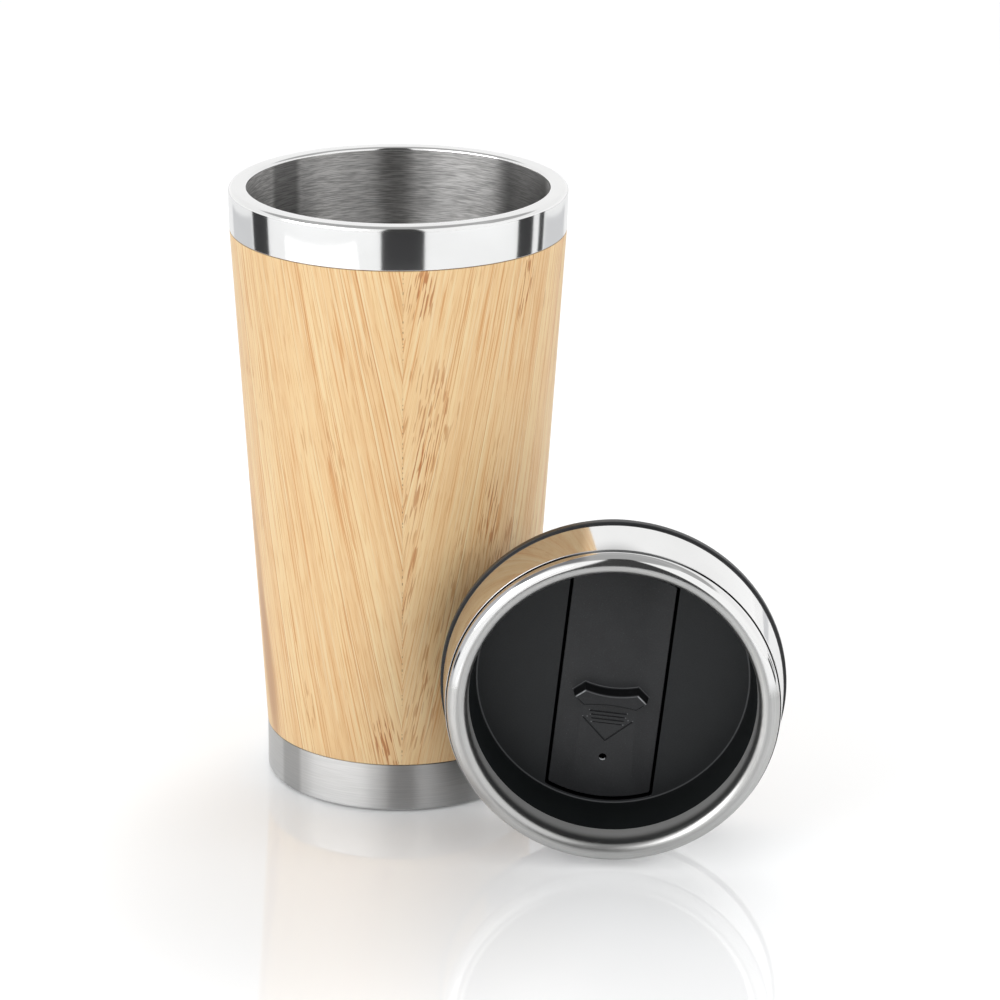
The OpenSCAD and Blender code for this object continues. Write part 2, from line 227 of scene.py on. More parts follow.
def lathe(name, loop, place=None, segments=SEGMENTS, finish=None, gap=None, uv=None):
    """Turns a closed outline of (r, z) points in millimetres round +Z.
    finish gives each stretch of the outline its material index. gap is (angle, half angle) of a slit.
    uv gives the place on the flat sheet of (angle, r, z)."""
    bm = bmesh.new()
    layer = bm.loops.layers.uv.new("Sheet") if uv else None
    if gap:
        start, stop = gap[0] + gap[1], gap[0] - gap[1] + 2 * math.pi
        angles = [start + (stop - start) * k / segments for k in range(segments + 1)]
    else:
        angles = [2 * math.pi * k / segments for k in range(segments)]
    rings = []
    for r, z in loop:
        if r < 1e-6:
            rings.append(None)
            continue
        rings.append([bm.verts.new((r * math.cos(a) * MM, r * math.sin(a) * MM, z * MM)) for a in angles])
    count = len(loop)
    spans = len(angles) if not gap else len(angles) - 1
    for i in range(count):
        low, high = rings[i], rings[(i + 1) % count]
        index = finish[i] if finish else 0
        if low is None and high is None:
            continue
        if low is None or high is None:
            face = bm.faces.new(low or high)
            face.material_index = index
            continue
        for k in range(spans):
            m = (k + 1) % len(angles)
            face = bm.faces.new((low[k], low[m], high[m], high[k]))
            face.material_index = index
            if uv:
                where = ((k, i), (k + 1, i), (k + 1, (i + 1) % count), (k, (i + 1) % count))
                for corner, (turn, row) in zip(face.loops, where):
                    corner[layer].uv = uv(angles[turn], *loop[row])
    if gap:
        # The two faces of the slit
        for k in (0, -1):
            bm.faces.new([ring[k] for ring in rings])
    return add_object(name, bm, place)


def loft(name, layers):
    """A closed solid of the lid, through outlines of equal counts, each with its height, in millimetres."""
    bm = bmesh.new()
    rings = [[bm.verts.new((x * MM, y * MM, z * MM)) for x, y in points] for points, z in layers]
    for low, high in zip(rings, rings[1:]):
        for k in range(len(low)):
            m = (k + 1) % len(low)
            bm.faces.new((low[k], low[m], high[m], high[k]))
    bm.faces.new(list(reversed(rings[0])))
    bm.faces.new(rings[-1])
    return add_object(name, bm, lid_place)


def prism(name, outline, low, high):
    return loft(name, [(outline, low), (outline, high)])


def block(name, x0, x1, y0, y1, z0, z1):
    return prism(name, [(x0, y0), (x1, y0), (x1, y1), (x0, y1)], z0, z1)


def combine(obj, others, operation):
    """Joins other solids to a solid, cuts them out or keeps what they share with it, and removes them."""
    for other in others:
        step = obj.modifiers.new("step", "BOOLEAN")
        step.operation = operation
        step.solver = "EXACT"
        step.object = other
    bpy.context.view_layer.update()
    mesh = bpy.data.meshes.new_from_object(obj.evaluated_get(bpy.context.evaluated_depsgraph_get()))
    obj.modifiers.clear()
    old = obj.data
    obj.data = mesh
    bpy.data.meshes.remove(old)
    mesh.name = obj.name
    for other in others:
        bpy.data.objects.remove(other)
    smooth(obj)


# Materials


def srgb(r, g, b):
    """A linear colour from sRGB values of 0 to 255."""
    out = []
    for v in (r, g, b):
        v = v / 255
        out.append(v / 12.92 if v <= 0.04045 else ((v + 0.055) / 1.055) ** 2.4)
    return (*out, 1)


class Paint:
    """Builds a node material, or the world, with short calls. Lengths in materials are in metres."""

    def __init__(self, name, on_lid=False, owners=bpy.data.materials, **values):
        self.on_lid = on_lid
        self.material = owners.new(name)
        self.material.use_nodes = True
        self.tree = self.material.node_tree
        self.shader = next(n for n in self.tree.nodes if n.type in ("BSDF_PRINCIPLED", "BACKGROUND"))
        for key, value in values.items():
            self.shader.inputs[key.replace("_", " ")].default_value = value

    def node(self, kind, sets=None, **values):
        """sets are the node's own options; values are inputs by name, or by number as i0, i1 and so on."""
        n = self.tree.nodes.new("ShaderNode" + kind)
        for key, value in (sets or {}).items():
            setattr(n, key, value)
        for key, value in values.items():
            self.feed(n.inputs[int(key[1:]) if key[1:].isdigit() else key.replace("_", " ")], value)
        return n

    def feed(self, socket, value):
        if isinstance(value, bpy.types.NodeSocket):
            self.tree.links.new(value, socket)
        else:
            socket.default_value = value

    def math(self, operation, a, b=0.0, c=0.0):
        return self.node("Math", {"operation": operation}, i0=a, i1=b, i2=c).outputs[0]

    def times(self, a, b):
        return self.math("MULTIPLY", a, b)

    def times_plus(self, a, b, c):
        return self.math("MULTIPLY_ADD", a, b, c)

    def minus(self, a, b):
        return self.math("SUBTRACT", a, b)

    def larger(self, a, b):
        return self.math("MAXIMUM", a, b)

    def mix(self, share, a, b):
        n = self.tree.nodes.new("ShaderNodeMix")
        n.data_type = "RGBA"
        self.feed(n.inputs[0], share)
        self.feed(n.inputs[6], a)
        self.feed(n.inputs[7], b)
        return n.outputs[2]

    def ramp(self, share, stops):
        n = self.tree.nodes.new("ShaderNodeValToRGB")
        while len(n.color_ramp.elements) < len(stops):
            n.color_ramp.elements.new(0.5)
        for element, (at, colour) in zip(n.color_ramp.elements, stops):
            element.position = at
            element.color = colour
        self.feed(n.inputs[0], share)
        return n.outputs[0]

    def step(self, value, low, high):
        """0 below low, 1 above high, smooth between."""
        sets = {"interpolation_type": "SMOOTHSTEP"}
        return self.node("MapRange", sets, i0=value, i1=low, i2=high, i3=0.0, i4=1.0).outputs[0]

    def noise(self, vector, scale=1.0, detail=2.0, rough=0.5, dims="3D", w=None):
        n = self.tree.nodes.new("ShaderNodeTexNoise")
        n.noise_dimensions = dims
        self.feed(n.inputs["Vector"], vector)
        n.inputs["Scale"].default_value = scale
        n.inputs["Detail"].default_value = detail
        n.inputs["Roughness"].default_value = rough
        if w is not None:
            self.feed(n.inputs["W"], w)
        return n.outputs[0]

    def vector(self, x, y, z=0.0):
        return self.node("CombineXYZ", i0=x, i1=y, i2=z).outputs[0]

    def parts(self, vector):
        return self.node("SeparateXYZ", i0=vector).outputs[:3]

    def radius(self, x, y):
        return self.math("SQRT", self.math("ADD", self.times(x, x), self.times(y, y)))

    def far(self, x, y, cx, cy, wide, tall):
        """The squared distance from a place, counted in half widths and half heights."""
        dx = self.times(self.minus(x, cx), 1 / wide)
        dy = self.times(self.minus(y, cy), 1 / tall)
        return self.math("ADD", self.times(dx, dx), self.times(dy, dy))

    def upright(self, x, y):
        """A place on the leaning lid, counted to the right and straight up."""
        c, s = math.cos(CLOCK), math.sin(CLOCK)
        return self.times_plus(y, -s, self.times(x, c)), self.times_plus(x, s, self.times(y, c))

    def within(self, value, low, low_in, high_in, high):
        """1 between low_in and high_in, 0 outside low and high."""
        return self.times(self.step(value, low, low_in), self.step(value, high, high_in))

    def stretched(self, vector, x, y, shift=(0, 0, 0)):
        """A flat place with a scale of its own for each direction."""
        n = self.tree.nodes.new("ShaderNodeMapping")
        self.feed(n.inputs["Vector"], vector)
        n.inputs["Scale"].default_value = (x, y, 0.0)
        n.inputs["Location"].default_value = shift
        return n.outputs[0]

    def local(self):
        """The place in the frame of the cup, or of the lid for a material of the lid."""
        place = self.node("TexCoord").outputs["Object"]
        if not self.on_lid:
            return place
        n = self.node("Mapping", {"vector_type": "TEXTURE"})
        self.feed(n.inputs["Vector"], place)
        n.inputs["Location"].default_value = LID_AT
        n.inputs["Rotation"].default_value = lid_turn.to_euler()
        return n.outputs[0]

    def bump(self, height, distance, strength=1.0):
        n = self.node("Bump", i0=strength, i1=distance)
        self.feed(n.inputs["Height"], height)
        self.feed(self.shader.inputs["Normal"], n.outputs[0])

    def set(self, **sockets):
        for key, value in sockets.items():
            self.feed(self.shader.inputs[key.replace("_", " ")], value)


def turned_marks(paint, along, across, detail=2.0):
    """Noise drawn out round the axis, as by a brush while the piece turns."""
    x, y, z = paint.parts(paint.local())
    flat = paint.vector(paint.times(x, along), paint.times(y, along), paint.times(z, across))
    return paint.noise(flat, 1.0, detail, 0.55, "4D", paint.times(paint.radius(x, y), across))


def brushed(name, colour, roughness, spread, along, across, depth, contrast=0.12, scratched=False, painted_reflections=()):
    """Steel brushed round its axis. spread is how far highlights are drawn out, along and across are the
    scales of the marks, depth is their depth in metres, and contrast their share of the colour. Each
    dark stripe given last is a painted reflection on the wall: turn from the back to the right and half
    width, both in degrees, and share."""
    p = Paint(name, Metallic=1.0, Anisotropic=spread, Anisotropic_Rotation=0.25)
    marks = turned_marks(p, along, across)
    broad = turned_marks(p, along * 0.5, across * 0.5, 1.0)
    both = p.times_plus(broad, 0.25, p.times(marks, 0.75))
    low = tuple(v * (1 - contrast) for v in colour[:3]) + (1,)
    high = tuple(min(1, v * (1 + contrast)) for v in colour[:3]) + (1,)
    tone = p.mix(p.step(both, 0.36, 0.64), low, high)
    if scratched:
        light = p.step(turned_marks(p, along * 0.5, across * 1.3, 1.0), 0.6, 0.7)
        tone = p.mix(p.times(light, 0.28), tone, (0.9, 0.9, 0.89, 1))
    x, y, _ = p.parts(p.local())
    turn = p.math("ARCTAN2", x, y)
    # Dark stripes painted into the tone by turn round the axis: painted reflections
    for middle, half, share in painted_reflections:
        aside = p.math("ABSOLUTE", p.minus(turn, math.radians(middle)))
        dark_reflection = p.step(aside, math.radians(half), math.radians(half * 0.6))
        tone = p.mix(p.times(dark_reflection, share), tone, (0.1, 0.1, 0.1, 1))
    p.set(Base_Color=tone,
          Roughness=p.times_plus(marks, 0.2, roughness - 0.1),
          Tangent=p.node("Tangent", {"direction_type": "RADIAL", "axis": "Z"}).outputs[0])
    p.bump(marks, depth)
    return p.material


# Where the painted shade on the trim ring's left side begins and is full, in metres to the right of its
# middle
SHADED_LEFT = (-0.0055, -0.009)


def crest_steel():
    """The trim ring's rolled part: polished over the upper shoulder and satin elsewhere. The satin's duller
    tone over the lower half is painted shade, the lighter, partly matt inner wall is a painted reflection,
    and the darker left side is painted shade.
    """
    p = Paint("steel_crest", True)
    x, y, z = p.parts(p.local())
    radius = p.radius(x, y)
    inner = p.step(radius, 0.0385, 0.0377)
    right, up = p.upright(x, y)
    # Satin on the inner side and over the lower half; the lower half's duller tone is painted shade
    satin = p.larger(inner, p.step(up, 0.009, 0.004))
    # The inner wall is painted lighter and partly matt: a painted reflection
    wall = p.times(inner, p.step(z, 0.0172, 0.0135))
    marks = turned_marks(p, 90, 9000)
    soft = p.noise(p.local(), 260.0, 3.0)
    rough = p.times_plus(marks, 0.14, p.times_plus(soft, 0.08, 0.2))
    dull = p.mix(p.step(marks, 0.35, 0.65), (0.52, 0.52, 0.512, 1), (0.6, 0.6, 0.592, 1))
    # Painted shade over the outer part of the left side
    left_shade = p.times(p.step(right, *SHADED_LEFT), p.step(radius, 0.0394, 0.0398))
    tone = p.mix(satin, p.mix(left_shade, (0.9, 0.9, 0.895, 1), (0.47, 0.47, 0.485, 1)), dull)
    p.set(Base_Color=p.mix(wall, tone, (0.6, 0.6, 0.592, 1)), Metallic=p.times_plus(wall, -0.45, 1.0),
          Roughness=p.times_plus(satin, p.minus(rough, 0.08), 0.08))
    p.bump(marks, 0.0000015, 0.6)
    return p.material


def ring_groove():
    """The fine groove under the ring's shoulder: painted dark as shade, and painted lighter and metallic at
    the top as a reflection.
    """
    p = Paint("ring_groove", True, Roughness=0.35)
    x, y, _ = p.parts(p.local())
    # Painted reflection: the groove's top is lighter and metallic
    lit_top = p.times(p.step(p.math("ABSOLUTE", x), 0.017, 0.006), p.step(y, 0.0, 0.01))
    p.set(Base_Color=p.mix(lit_top, srgb(16, 17, 18), srgb(150, 151, 152)), Metallic=lit_top,
          Specular_IOR_Level=p.times_plus(lit_top, 0.4, 0.1))
    return p.material


def polished(name, colour, roughness, on_lid=False, left_shade=None):
    """Mirror steel with faint turned marks. The last argument is the colour of the painted shade on the
    ring's left side.
    """
    p = Paint(name, on_lid, Metallic=1.0)
    marks = turned_marks(p, 18, 5200)
    smear = p.noise(p.local(), 70.0, 2.0)
    rough = p.times_plus(marks, 0.04, roughness - 0.02)
    tone = p.mix(p.step(smear, 0.3, 0.7), tuple(v * 0.97 for v in colour[:3]) + (1,), colour)
    if left_shade:
        # Painted shade over the left side
        x, y, _ = p.parts(p.local())
        tone = p.mix(p.step(p.upright(x, y)[0], *SHADED_LEFT), tone, left_shade)
    p.set(Base_Color=tone,
          Roughness=p.times_plus(smear, 0.03, rough))
    p.bump(marks, 0.0000004)
    return p.material


def moulded(name, colour, roughness, grain=0.000012, speck=0.0, shine=0.5, on_lid=True, painted_light=None):
    """Black plastic with the fine texture of a spark-eroded mould, grain metres deep. speck is the share of
    light dust. The last argument gives the shares of painted shade in the hollows and of painted highlights
    on the edges."""
    p = Paint(name, on_lid, Specular_IOR_Level=shine)
    place = p.local()
    fine = p.noise(place, 5200.0, 2.0, 0.6)
    pitted = p.noise(place, 2700.0, 2.0, 0.6)
    soft = p.noise(place, 160.0, 3.0, 0.5)
    light = p.times_plus(p.step(pitted, 0.35, 0.65), 0.6, p.times(p.step(soft, 0.3, 0.7), 0.4))
    dim, lit = (tuple(v * share for v in colour[:3]) + (1,) for share in (0.82, 1.16))
    tone = p.mix(light, dim, lit)
    if speck:
        dust = p.step(p.noise(place, 3900.0, 1.0), 0.735, 0.76)
        tone = p.mix(p.times(dust, speck), tone, srgb(150, 152, 154))
    if painted_light:
        # Painted shade in the hollows and painted highlights on the edges
        hollow, painted_glint = painted_light(p)
        tone = p.mix(hollow, tone, srgb(7, 7, 8))
        tone = p.mix(painted_glint, tone, srgb(226, 229, 232))
        p.set(Specular_IOR_Level=p.times_plus(hollow, -shine, shine))
    p.set(Base_Color=tone, Roughness=p.times_plus(soft, 0.08, roughness - 0.04))
    p.bump(fine, grain)
    return p.material


def disc_painted_light(p):
    """Painted shade on the walls and inside of the channel, and a painted highlight line where the disc
    meets the wall of the well.
    """
    x, y, z = p.parts(p.local())
    radius = p.radius(x, y)
    # Painted highlight: a light line where the disc meets the wall of the well
    line = p.within(radius, 0.0334, 0.0336, 0.03375, 0.03395)
    line = p.times(line, p.step(z, (DISC_W - 0.1) * MM, (DISC_W - 0.05) * MM))
    # Painted shade on the channel's walls and inside it
    low = p.times(p.step(z, (DISC_W - 0.02) * MM, (DISC_W - 0.06) * MM), p.step(radius, 0.0352, 0.0349))
    return low, p.times(line, 0.13)


def slider_painted_light(p):
    """Painted shade in the plate's grooves and gaps, on its edges, and on the grip's walls, lower bevel and
    top face; painted highlights on the grip's upper bevel and foot, at the ends of the bars and on the
    vent's lower lip. Heights are over the disc."""
    x, y, z = p.parts(p.local())
    above = p.minus(z, DISC_W * MM)
    # Painted shade on the plate's edge bevel and in its grooves and gaps
    shallow = p.times(p.step(above, -0.00002, -0.00005), 0.4)
    low = p.times_plus(p.step(above, -0.00021, -0.0003), 0.6, shallow)
    # Painted shade on the grip's walls
    wall = p.within(above, 0.0003, 0.001, 0.0041, 0.0044)
    bevel = p.within(above, 0.0045, 0.00464, 0.00474, 0.0048)
    foot = p.within(above, 0.00001, 0.00004, 0.00016, 0.0003)
    upper = p.step(y, -0.0046, -0.0036)
    # The grip's cut corners at its upper end catch the light
    corner = p.times(p.step(p.math("ABSOLUTE", x), 0.0062, 0.0067), upper)
    # Painted highlights on the grip's upper bevel and foot
    edge = p.times(bevel, p.times_plus(corner, 0.4, 0.09))
    edge = p.times(upper, p.larger(edge, p.times(foot, 0.12)))
    # Painted shadow on the grip's lower bevel
    under = p.times(bevel, p.minus(1.0, upper))
    # Painted highlight on the vent's lower lip
    down = p.minus(y, VENT_Y * MM)
    lip = p.times(p.step(p.radius(x, down), 0.00102, 0.00097), p.step(down, -0.0005, -0.0008))
    lip = p.times(lip, p.within(above, -0.0014, -0.001, -0.0003, -0.00016))
    # Painted highlights: small light spots at the ends of the bars and of the arrow
    end_glints = 0.0
    for px, py in ((4.7, -9.1), (4.4, -10.3), (5.1, -10.9), (3.95, -12.25), (6.2, -11.0)):
        gone = p.radius(p.minus(p.math("ABSOLUTE", x), px * MM), p.minus(y, py * MM))
        end_glints = p.larger(end_glints, p.step(gone, 0.00024, 0.0001))
    edge = p.larger(edge, p.times(end_glints, 0.16))
    hollow = p.larger(low, p.times(p.larger(wall, under), 0.75))
    # Painted shade over the grip's top face
    hollow = p.larger(hollow, p.times(p.step(above, 0.00474, 0.00479), 0.25))
    return hollow, p.larger(edge, lip)


# The bamboo's strips, broad ones and narrow ones: their mean width in metres, and a seed
BROAD, NARROW = (0.0052, 3.3), (0.0013, 71.9)


def strips(paint, x, pitch, seed):
    """Strips of uneven width side by side: two random values for each, and the distance to its edge."""
    w = paint.times_plus(x, 1 / pitch, seed)
    cell = paint.node("TexVoronoi", {"voronoi_dimensions": "1D", "feature": "F1"})
    edge = paint.node("TexVoronoi", {"voronoi_dimensions": "1D", "feature": "DISTANCE_TO_EDGE"})
    for n in (cell, edge):
        paint.feed(n.inputs["W"], w)
        n.inputs["Scale"].default_value = 1.0
        n.inputs["Randomness"].default_value = 1.0
    colour = paint.node("SeparateColor", i0=cell.outputs["Color"]).outputs
    return colour[0], colour[1], paint.times(edge.outputs["Distance"], pitch)


def bamboo_material():
    """One straight-grained sheet of bamboo strips: grain along the sheet's Y, in metres."""
    p = Paint("bamboo_sheet", Coat_Weight=0.18, Coat_Roughness=0.32, Specular_IOR_Level=0.4)
    sheet = p.node("UVMap", {"uv_map": "Sheet"}).outputs[0]
    x, y, _ = p.parts(sheet)
    sway = p.noise(p.stretched(sheet, 50, 13), 1.0, 1.0)
    x = p.times_plus(p.minus(sway, 0.5), 0.0012, x)
    flow = p.vector(x, y)
    fine = p.noise(p.stretched(flow, 3400, 75), 1.0, 3.0, 0.6)
    dash = p.noise(p.stretched(flow, 1900, 120, shift=(3, 7, 1)), 1.0, 1.0, 0.5)
    streak = p.noise(p.stretched(flow, 1700, 22, shift=(9, 2, 4)), 1.0, 1.0, 0.5)
    fibre = p.noise(p.stretched(flow, 800, 8, shift=(13, 7, 1)), 1.0, 2.0, 0.55)
    cloud = p.noise(p.stretched(flow, 60, 11, shift=(5, 5, 8)), 1.0, 2.0)
    tone_a, gate_a, edge_a = strips(p, x, *BROAD)
    tone_b, gate_b, edge_b = strips(p, x, *NARROW)
    tone = p.times_plus(tone_a, 0.22, p.times(tone_b, 0.18))
    tone = p.times_plus(fibre, 0.45, tone)
    tone = p.times_plus(cloud, 0.35, tone)
    colour = p.ramp(tone, [(0.36, srgb(240, 198, 144)), (0.54, srgb(247, 209, 156)),
                           (0.68, srgb(250, 216, 163)), (0.84, srgb(253, 224, 174))])
    # Fine dashes all over
    colour = p.mix(p.times(p.step(fine, 0.5, 0.66), 0.38), colour, srgb(223, 171, 110))
    colour = p.mix(p.times(p.step(fine, 0.48, 0.32), 0.3), colour, srgb(253, 232, 190))
    colour = p.mix(p.times(p.step(dash, 0.57, 0.67), 0.26), colour, srgb(216, 156, 92))
    colour = p.mix(p.times(p.step(streak, 0.635, 0.66), 0.62), colour, srgb(219, 150, 84))
    colour = p.mix(p.times(p.step(streak, 0.38, 0.34), 0.35), colour, srgb(255, 237, 196))
    # The strips' edges: an orange line on many, with a cream line beside it
    along = p.noise(p.stretched(flow, 300, 7, shift=(2, 31, 3)), 1.0, 1.0)
    open_a = p.times(p.step(gate_a, 0.3, 0.5), p.step(along, 0.36, 0.5))
    line_a = p.times(p.step(edge_a, 0.0002, 0.00007), open_a)
    open_b = p.times(p.step(gate_b, 0.5, 0.65), p.step(along, 0.44, 0.56))
    line_b = p.times(p.step(edge_b, 0.00016, 0.00005), open_b)
    _, _, beside = strips(p, p.math("ADD", x, 0.0004), *BROAD)
    cream = p.times(p.step(beside, 0.00036, 0.0001), open_a)
    colour = p.mix(p.times(cream, 0.62), colour, srgb(253, 233, 188))
    line = p.larger(line_a, p.times(line_b, 0.8))
    colour = p.mix(p.times(line, 0.8), colour, srgb(214, 146, 82))
    # Short brown bundles, here and there
    sparse = p.step(p.noise(p.stretched(flow, 120, 26, shift=(1, 12, 6)), 1.0, 1.0), 0.58, 0.72)
    bundle = p.step(dash, 0.56, 0.66)
    colour = p.mix(p.times(p.times(bundle, sparse), 0.5), colour, srgb(196, 132, 78))
    for *place, force in CLUSTERS:
        near = p.step(p.far(x, y, *place), 1.0, 0.15)
        dark = p.step(p.times_plus(near, 0.055, dash), 0.59, 0.63)
        colour = p.mix(p.times(p.times(near, dark), force), colour, srgb(186, 112, 56))
    for *place, force in SMUDGES:
        near = p.step(p.times_plus(fibre, 0.5, p.far(x, y, *place)), 1.2, 0.3)
        colour = p.mix(p.times(near, force), colour, srgb(192, 144, 104))
    # Specks along the seam
    right, back, height = p.parts(p.local())
    turn = p.math("ARCTAN2", right, p.times(back, -1.0))
    off = p.math("ABSOLUTE", p.minus(turn, SEAM_TURN))
    level = p.vector(height, 0.0)
    speck = p.times(p.step(p.noise(level, 1100.0, 1.0), 0.5, 0.6), p.step(off, 0.0042, 0.0015))
    speck = p.times(speck, p.step(p.noise(level, 90.0, 1.0), 0.4, 0.55))
    colour = p.mix(p.times(speck, 0.75), colour, srgb(140, 92, 56))
    # The wood is darker in a thin band at its lower and upper ends
    ends = p.larger(p.step(height, (BASE_H + 0.3) * MM, (BASE_H + 0.12) * MM),
                  p.step(height, (BAND_Z - 0.24) * MM, (BAND_Z - 0.1) * MM))
    colour = p.mix(p.times(ends, 0.8), colour, srgb(96, 70, 50))
    p.set(Base_Color=colour, Roughness=p.times_plus(fibre, 0.14, 0.38))
    p.bump(p.times_plus(line, -0.8, fine), 0.00002)
    return p.material


def sheet_place(angle, r, z):
    """Where a point of the sleeve lies on the flat sheet that is wrapped into the cone."""
    slope = math.atan2(BAND_LOW_R - BASE_R, BAND_Z - BASE_H)
    outer = BASE_R + (z - BASE_H) * math.tan(slope)
    back = angle - math.pi / 2
    while back > math.pi + SEAM_TURN:
        back -= 2 * math.pi
    while back < -math.pi + SEAM_TURN:
        back += 2 * math.pi
    s = outer / math.sin(slope) * MM
    turn = -back * math.sin(slope)
    return s * math.sin(turn), s * math.cos(turn) - (outer - r) * MM


# Brown clusters of dashes on the sheet, and smudges: centre, half width and half length in metres, strength
CLUSTERS = []
SMUDGES = []


def spot(spots, turn, z, wide, tall, force):
    """Keeps a spot, given its turn from the front to the right, and its height and half sizes in mm."""
    angle = math.radians(-90 + turn) + (2 * math.pi if turn <= math.degrees(SEAM_TURN) else 0)
    u, v = sheet_place(angle, BASE_R, z)
    spots.append((u, v, wide * MM, tall * MM, force))


# Turn, height, half width, half length and strength
for values in ((10, 147, 4.4, 10, 0.8), (13, 112, 5, 20, 0.6), (8, 94, 3.4, 22, 0.55), (5, 66, 2.4, 20, 0.5),
               (50, 146, 3.4, 13, 0.7), (38, 83, 4.5, 13, 0.65), (46, 68, 6.5, 18, 0.5), (24, 60, 7, 30, 0.3),
               (-5, 20, 4.4, 10, 0.8), (10, 30, 5, 14, 0.45), (-24, 100, 3, 12, 0.25), (150, 60, 5, 14, 0.4),
               (205, 120, 4, 12, 0.4), (110, 96, 4, 16, 0.35)):
    spot(CLUSTERS, *values)
for values in ((-72, 33, 5.6, 30, 0.8), (-76, 62, 4.0, 24, 0.5), (170, 100, 4, 30, 0.3)):
    spot(SMUDGES, *values)

wood = bamboo_material()
mirror_steel = polished("steel_polished", (0.92, 0.92, 0.915, 1), 0.08)
ring_steel = polished("steel_ring_polished", (0.93, 0.93, 0.925, 1), 0.06, on_lid=True,
                      left_shade=(0.585, 0.583, 0.6, 1))
satin_steel = crest_steel()
# The dark stripes of the liner and of the base are painted reflections
liner_steel = brushed("steel_liner", (0.65, 0.642, 0.634, 1), 0.38, spread=0.95, along=300, across=7200,
                      depth=0.000003, contrast=0.34, scratched=True,
                      painted_reflections=((-50, 9, 0.62), (63, 22, 0.7), (28, 22, 0.24)))
base_steel = brushed("steel_base", (0.6, 0.6, 0.597, 1), 0.43, spread=0.93, along=120, across=6500,
                     depth=0.000002, contrast=0.06, painted_reflections=((-126, 8, 0.3),))
shell_steel = brushed("steel_shell", (0.55, 0.55, 0.55, 1), 0.4, spread=0.3, along=12, across=3000,
                      depth=0.000003)
groove_shade = ring_groove()
lid_plastic = moulded("plastic_lid", srgb(36, 38, 40), 0.5, shine=0.4, painted_light=disc_painted_light)
slider_plastic = moulded("plastic_slider", srgb(49, 50, 52), 0.46, speck=0.25, shine=0.45, painted_light=slider_painted_light)
flange_plastic = moulded("plastic_flange", srgb(34, 35, 37), 0.36, shine=0.5)
shaded_well_plastic = moulded("plastic_well_shaded", srgb(20, 23, 24), 0.55, shine=0.2)
pad_rubber = moulded("rubber_pad", srgb(44, 44, 45), 0.75, grain=0.00003, on_lid=False)
silicone = moulded("silicone_seal", srgb(50, 52, 53), 0.5, grain=0.000006)


def dress(obj, materials, body, slot, *nodes):
    """Gives a shown piece its materials, its body and the solids that it stands for. slot is not used."""
    for m in materials:
        obj.data.materials.append(m)
    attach(obj, body)
    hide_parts(*nodes)


def repaint(node, material):
    """A solid of the CAD model that is shown as it is."""
    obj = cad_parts[node]
    obj.data.materials.clear()
    obj.data.materials.append(material)


# The cup


def rim_band():
    """A band whose rounded lip rolls onto the mouth."""
    bend_r, bend_z = RIM_R - RIM_ROUND, CUP_H - RIM_ROUND
    inner_round = RIM_ROUND - BAND_T
    loop = rounded([(BAND_LOW_R, BAND_Z, CUT_EDGE)] + arc(bend_r, bend_z, RIM_ROUND, RIM_ROUND, 0, 90, 16)
                   + arc(MOUTH_R + BAND_T, TOP_Z, BAND_T, BAND_T, 90, 180, 12)
                   + arc(bend_r, bend_z, inner_round, inner_round, 90, 0, 8)
                   + [(BAND_LOW_R - BAND_T, BAND_Z, FINE_EDGE)])
    dress(lathe("rim_band_shown", loop), [mirror_steel], "cup", "polished_steel", "rim_band")


def bamboo_sleeve():
    """The sheet rolled into a cone, with broken edges, and a slit where its two ends meet."""
    steps, edge_h = 34, 0.3
    loop = [(BASE_R - SLEEVE_T, BASE_H)] + [(BASE_R - inward, BASE_H + up) for inward, up in BROKEN_EDGE]
    for i in range(steps + 1):
        z = BASE_H + edge_h + (BAND_Z - BASE_H - 2 * edge_h) * i / steps
        loop.append((BASE_R + (z - BASE_H) * (BAND_LOW_R - BASE_R) / (BAND_Z - BASE_H), z))
    loop += [(BAND_LOW_R - inward, BAND_Z - up) for inward, up in reversed(BROKEN_EDGE)]
    loop.append((BAND_LOW_R - SLEEVE_T, BAND_Z))
    gap = (math.radians(-90) + SEAM_TURN, SEAM_GAP / 2 / SEAM_R)
    sleeve = lathe("bamboo_sleeve_shown", loop, gap=gap, uv=sheet_place)
    dress(sleeve, [wood], "cup", "bamboo", "bamboo_sleeve")


def inner_liner():
    """A straight mouth that passes by a slight bend into the tapered wall, and a closed floor."""
    foot_r, foot_z = LINER_FOOT_R - LINER_ROUND, FLOOR_Z + LINER_ROUND
    under_round = LINER_ROUND + LINER_T
    loop = ([(MOUTH_R, TOP_Z)] + [(MOUTH_R - inward, SEAT_Z + up) for inward, up in SEAT_BEND]
            + arc(foot_r, foot_z, LINER_ROUND, LINER_ROUND, 0, -90, 14)
            + [(0, FLOOR_Z), (0, FLOOR_Z - LINER_T)]
            + arc(foot_r, foot_z, under_round, under_round, -90, 0, 8)
            + [(MOUTH_R + LINER_T, SEAT_Z), (MOUTH_R + LINER_T, TOP_Z)])
    dress(lathe("inner_liner_shown", loop), [liner_steel], "cup", "brushed_liner", "inner_liner")


def base_band():
    """A cap with a recess for the pad."""
    cap_z = PAD_T + BAND_T
    loop = rounded([(BASE_R, BASE_H, CUT_EDGE)]
                   + arc(BASE_R - BASE_ROUND, PAD_PROUD + BASE_ROUND, BASE_ROUND, BASE_ROUND, 0, -90, 10)
                   + [(RECESS_R, PAD_PROUD, SOFT_EDGE), (RECESS_R, PAD_T, FINE_EDGE), (0, PAD_T), (0, cap_z),
                      (RECESS_R + BAND_T, cap_z), (RECESS_R + BAND_T, PAD_PROUD + BAND_T),
                      (BASE_R - BAND_T, PAD_PROUD + BAND_T), (BASE_R - BAND_T, BASE_H)])
    dress(lathe("base_band_shown", loop), [base_steel], "cup", "brushed_base", "base_band")


